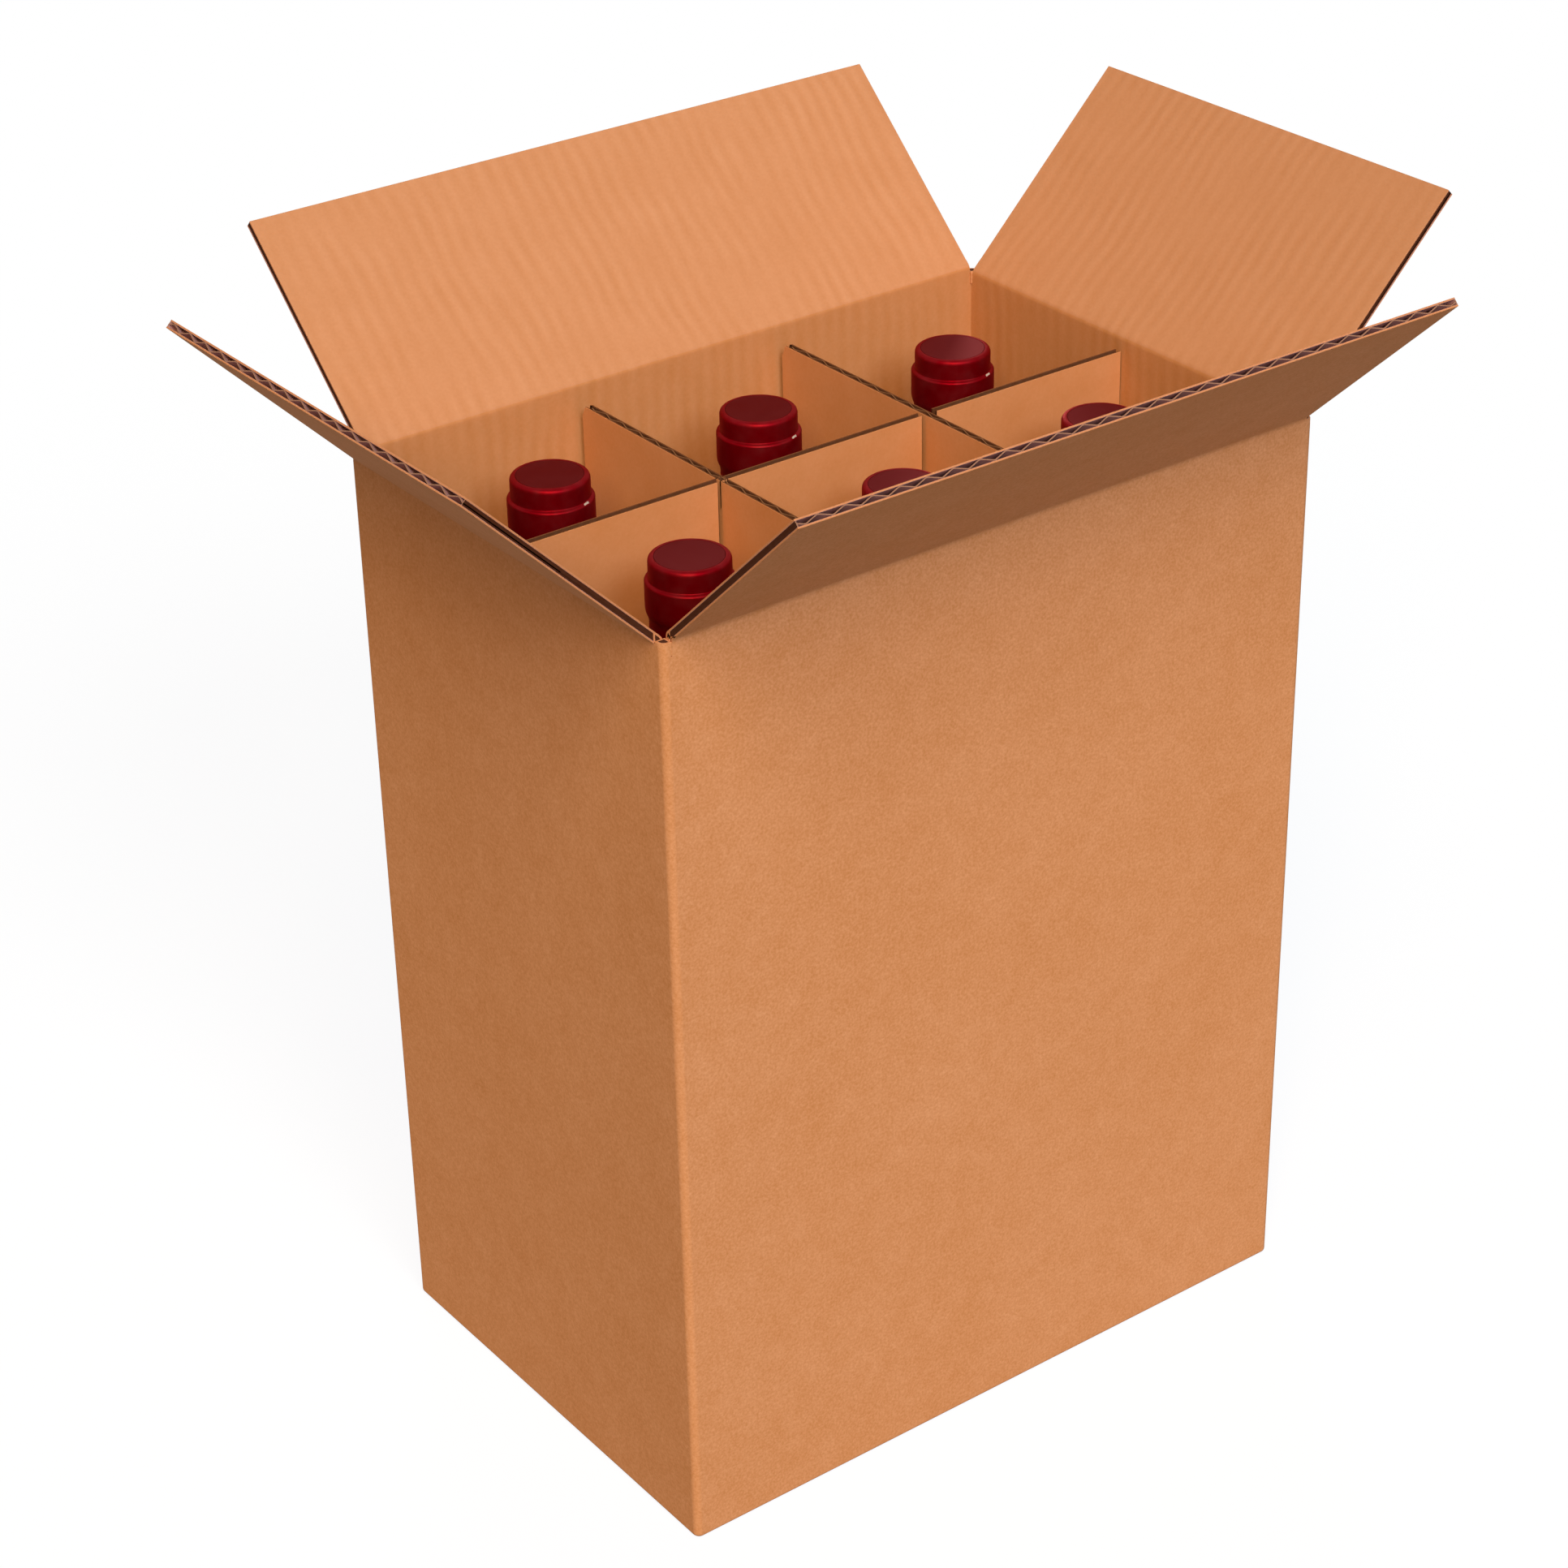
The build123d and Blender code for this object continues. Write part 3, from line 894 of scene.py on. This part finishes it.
def cross_divider(side, node):
    """A divider across the carton, slotted from below, with its two top corners cut off."""
    width = CROSS_HIGH.y - CROSS_LOW.y
    board = fluted_board(f"{node}_board", width, DIVIDER_HEIGHT, DIVIDER_FINISHES)
    cut_width, cut_height = CORNER_CUT
    for end in (-1, 1):
        corner = (end * (width / 2 - cut_width), 0, DIVIDER_HEIGHT)
        cut_off(board, corner, (end * cut_height, 0, cut_width))
    turn = Matrix.Rotation(radians(90), 4, "Z")
    board.data.transform(Matrix.Translation((side * CROSS_X, 0, LONG_LOW.z)) @ turn)
    start = LONG_Y - BOARD / 2 - DIVIDER_SEAT
    slot_through(
        board,
        (side * CROSS_X - BOARD, start, LONG_LOW.z - BOARD),
        (side * CROSS_X + BOARD, start + BOARD + SLOT_PLAY, DIVIDER_MIDDLE + SLOT_OVERLAP / 2),
    )
    finish_divider(board, node)


# Carton, bottles and capsules


def carton_and_bottles():
    """The solids that stay as they are, with their finishes."""
    for name, node in frame["nodes"].items():
        if name == "box_body":
            give_finishes(node, ["walls"])
        elif name.startswith("bottle"):
            give_finishes(node, ["glass"])


def turned(name, outline):
    """A solid turned about the Z axis from (radius, height) points, first and last on the axis."""
    piece = closed_line(name, [(radius, 0, height) for radius, height in outline], "NOTHING")
    ends = {0, len(outline) - 1}
    edit_some(piece, "EDGE", lambda edge: set(edge.vertices) == ends)
    bpy.ops.mesh.delete(type="EDGE")  # the one along the axis
    bpy.ops.mesh.select_all(action="SELECT")
    bpy.ops.mesh.spin(steps=TURNED_STEPS, angle=2 * pi, center=(0, 0, 0), axis=(0, 0, 1))
    bpy.ops.mesh.select_all(action="SELECT")
    bpy.ops.mesh.remove_doubles(threshold=MERGE_DISTANCE)
    bpy.ops.mesh.normals_make_consistent(inside=False)
    end_edit()
    smooth(piece)
    return piece


def capsule_outline():
    """Half the section of a capsule: down its outer face, round its foot and up its inner face."""
    top = CAPSULE_TOP
    collar_top = top - RIM_HEIGHT - COLLAR_SLOPE
    collar_bottom = collar_top - COLLAR_HEIGHT
    outer = rounded_line(
        [
            (0, top),
            (DISC_RADIUS - 2 * DISC_GROOVE, top),
            (DISC_RADIUS - DISC_GROOVE, top - DISC_GROOVE),
            (DISC_RADIUS, top),
            (RIM_RADIUS, top),
            (RIM_RADIUS, top - RIM_HEIGHT),
            (COLLAR_RADIUS, collar_top),
            (COLLAR_RADIUS, collar_bottom),
            (NECK_RADIUS, collar_bottom - COLLAR_TAPER),
            (FOOT_RADIUS, CAPSULE_FOOT),
        ],
        [0, 0, 0, RIM_ROUND, LEDGE_ROUND, COLLAR_ROUND, WAIST_ROUND, FOOT_ROUND],
    )
    under = top - CAPSULE_WALL
    inner = [
        (FOOT_RADIUS - CAPSULE_WALL, CAPSULE_FOOT),
        (NECK_RADIUS - CAPSULE_WALL, collar_bottom - COLLAR_TAPER),
        (COLLAR_RADIUS - CAPSULE_WALL, collar_bottom),
        (COLLAR_RADIUS - CAPSULE_WALL, collar_top),
        (RIM_RADIUS - CAPSULE_WALL, top - RIM_HEIGHT),
        (RIM_RADIUS - CAPSULE_WALL, top - RIM_ROUND),
        (RIM_RADIUS - RIM_ROUND, under),
        (0, under),
    ]
    return outer + inner


def capsule_axis(place):
    """The place of a capsule's upright axis."""
    low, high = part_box(f"capsule_{place}")
    return Matrix.Translation(((low.x + high.x) / 2, (low.y + high.y) / 2, 0))


def capsule(place):
    """The capsule over one bottle's mouth."""
    piece = turned(f"capsule_{place}_foil", capsule_outline())
    give_finishes(piece, ["foil", "shaded_disc"])
    # The flat top disc takes the darker copy of the foil, painted shade
    for face in piece.data.polygons:
        on_top = face.center.z > CAPSULE_TOP - 2 * DISC_GROOVE and face.normal.z > MOSTLY
        on_shaded_disc = on_top and face.center.xy.length < DISC_RADIUS
        face.material_index = int(on_shaded_disc)
    piece.data.transform(capsule_axis(place))
    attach(piece, "carton")
    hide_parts(f"capsule_{place}")


def glint_tab(place):
    """A small pale tab lying on the slope of a capsule's collar, pale as a painted glint."""
    tab = block(f"glint_tab_{place}", (0, 0, 0), TAB_SIZE)
    apply_modifier(tab, "BEVEL", width=TAB_ROUNDING, segments=TAB_STEPS, limit_method="ANGLE")
    slope = Matrix.Rotation(TAB_LEAN, 4, "Y")
    out = Matrix.Translation((TAB_RADIUS, 0, CAPSULE_TOP - RIM_HEIGHT - COLLAR_SLOPE / 2))
    round_axis = Matrix.Rotation(TAB_TURN, 4, "Z")
    tab.data.transform(capsule_axis(place) @ round_axis @ out @ slope)
    give_finishes(tab, ["painted_glint"])
    smooth(tab)
    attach(tab, "carton")


# Floor, light and camera

FLOOR_SIZE = 12.0
FLOOR_GAP = 0.1 * MM  # below the carton
FLOOR_COLOUR = (0.22, 0.20, 0.17)
SHADOW_REACH = (0.5, 1.2)  # how far out the shadow starts to fade, and is gone
WHITE = (1, 1, 1, 1)

# Each lamp: its azimuth from -Y towards +X and its elevation in degrees, its power and its colour
LAMPS = {
    "left_high": (-40, 55, 1.12, (1.0, 0.84, 0.55)),
    "left_low": (-40, 35, 1.57, (1.0, 0.70, 0.39)),
    "front": (-10, 35, 1.23, (0.83, 0.95, 1.07)),
    "back_fill": (150, 8, 1.05, (1.0, 0.95, 0.90)),
}
LAMP_WIDTH = radians(22)
LAMP_DISTANCE = 2.6
AMBIENT = 0.1

CAMERA_PLACE = Vector((-655.34, -863.70, 812.31)) * MM
CAMERA_RIGHT = Vector((0.80036, -0.59921, -0.01937))
CAMERA_UP = Vector((0.30603, 0.38056, 0.87265))
CAMERA_LENS = 83.40
CAMERA_RANGE = (0.05, 50.0)
SENSOR = 36.0


def lamp_direction(azimuth, elevation):
    """The direction in which a lamp lies, seen from the carton."""
    turn, rise = radians(azimuth), radians(elevation)
    return Vector((sin(turn) * cos(rise), -cos(turn) * cos(rise), sin(rise)))


def light_on_floor():
    """The light that falls on the open floor, for each colour channel."""
    light = Vector((AMBIENT,) * 3)
    for azimuth, elevation, power, colour in LAMPS.values():
        light += Vector(colour) * (power / pi * lamp_direction(azimuth, elevation).z)
    return light


def floor():
    """A floor that looks white but for the carton's shadow."""
    deselect_all()
    bpy.ops.mesh.primitive_plane_add(size=FLOOR_SIZE, location=(0, 0, -FLOOR_GAP))
    plane = bpy.context.active_object
    name_piece(plane, "floor")
    apply_place(plane)
    finish = Finish("floor")
    finish.tree.nodes.remove(finish.shader)
    diffuse = finish.add("ShaderNodeBsdfDiffuse", {"Color": (*FLOOR_COLOUR, 1)})
    missing = [1 - shade * light for shade, light in zip(FLOOR_COLOUR, light_on_floor())]
    lift = finish.add("ShaderNodeEmission", {"Color": (*missing, 1), "Strength": 1.0})
    near = finish.add("ShaderNodeAddShader", {0: diffuse.outputs[0], 1: lift.outputs[0]})
    far = finish.add("ShaderNodeEmission", {"Color": WHITE, "Strength": 1.0})
    distance = finish.add("ShaderNodeVectorMath", {0: finish.place}, operation="LENGTH")
    reach = {"From Min": SHADOW_REACH[0], "From Max": SHADOW_REACH[1]}
    inputs = {"Value": distance.outputs["Value"], **reach}
    fade = finish.add("ShaderNodeMapRange", inputs, interpolation_type="SMOOTHSTEP")
    look = finish.mixed_shaders(fade.outputs[0], near, far)
    whole = finish.mixed_shaders(finish.seen_directly(), diffuse, look)
    finish.feed(finish.tree.nodes["Material Output"], "Surface", whole.outputs[0])
    plane.data.materials.append(finish.material)


def surroundings():
    """An even studio: white where it is seen, softer as light."""
    world = bpy.data.worlds.new("studio")
    world.use_nodes = True
    bpy.context.scene.world = world
    nodes = Nodes(world.node_tree)
    light = nodes.tree.nodes["Background"]
    nodes.feed(light, "Color", WHITE)
    nodes.feed(light, "Strength", AMBIENT)
    white = nodes.add("ShaderNodeBackground", {"Color": WHITE, "Strength": 1.0})
    whole = nodes.mixed_shaders(nodes.seen_directly(), light, white)
    nodes.feed(nodes.tree.nodes["World Output"], "Surface", whole.outputs[0])


def lamps():
    """Far soft lamps, each shining towards the carton."""
    for name, (azimuth, elevation, power, colour) in LAMPS.items():
        data = bpy.data.lights.new(name, "SUN")
        data.angle = LAMP_WIDTH
        data.energy = power
        data.color = colour
        lamp = bpy.data.objects.new(name, data)
        bpy.context.scene.collection.objects.link(lamp)
        back = lamp_direction(azimuth, elevation)
        lamp.location = back * LAMP_DISTANCE
        lamp.rotation_euler = back.to_track_quat("Z", "Y").to_euler()


def camera():
    """The camera, where the photograph was taken from."""
    data = bpy.data.cameras.new("camera")
    data.lens = CAMERA_LENS
    data.sensor_width = SENSOR
    data.clip_start, data.clip_end = CAMERA_RANGE
    view = bpy.data.objects.new("camera", data)
    bpy.context.scene.collection.objects.link(view)
    back = CAMERA_RIGHT.cross(CAMERA_UP)
    turn = Matrix((CAMERA_RIGHT, CAMERA_UP, back)).transposed()
    view.matrix_world = Matrix.Translation(CAMERA_PLACE) @ turn.to_4x4()
    bpy.context.scene.camera = view


# The whole scene

for side in WALLS:
    top_flap(side)
    crease(side)
for column, side_x in (("left", -1), ("right", 1)):
    for row, side_y in (("front", -1), ("back", 1)):
        corner_post(f"corner_{column}_{row}", side_x, side_y)
long_divider()
cross_divider(-1, "cross_divider_left")
cross_divider(1, "cross_divider_right")
carton_and_bottles()
for row in ("front", "back"):
    for column in ("left", "middle", "right"):
        capsule(f"{row}_{column}")
        glint_tab(f"{row}_{column}")
floor()
surroundings()
lamps()
camera()
bpy.context.scene.view_settings.view_transform = "Standard"
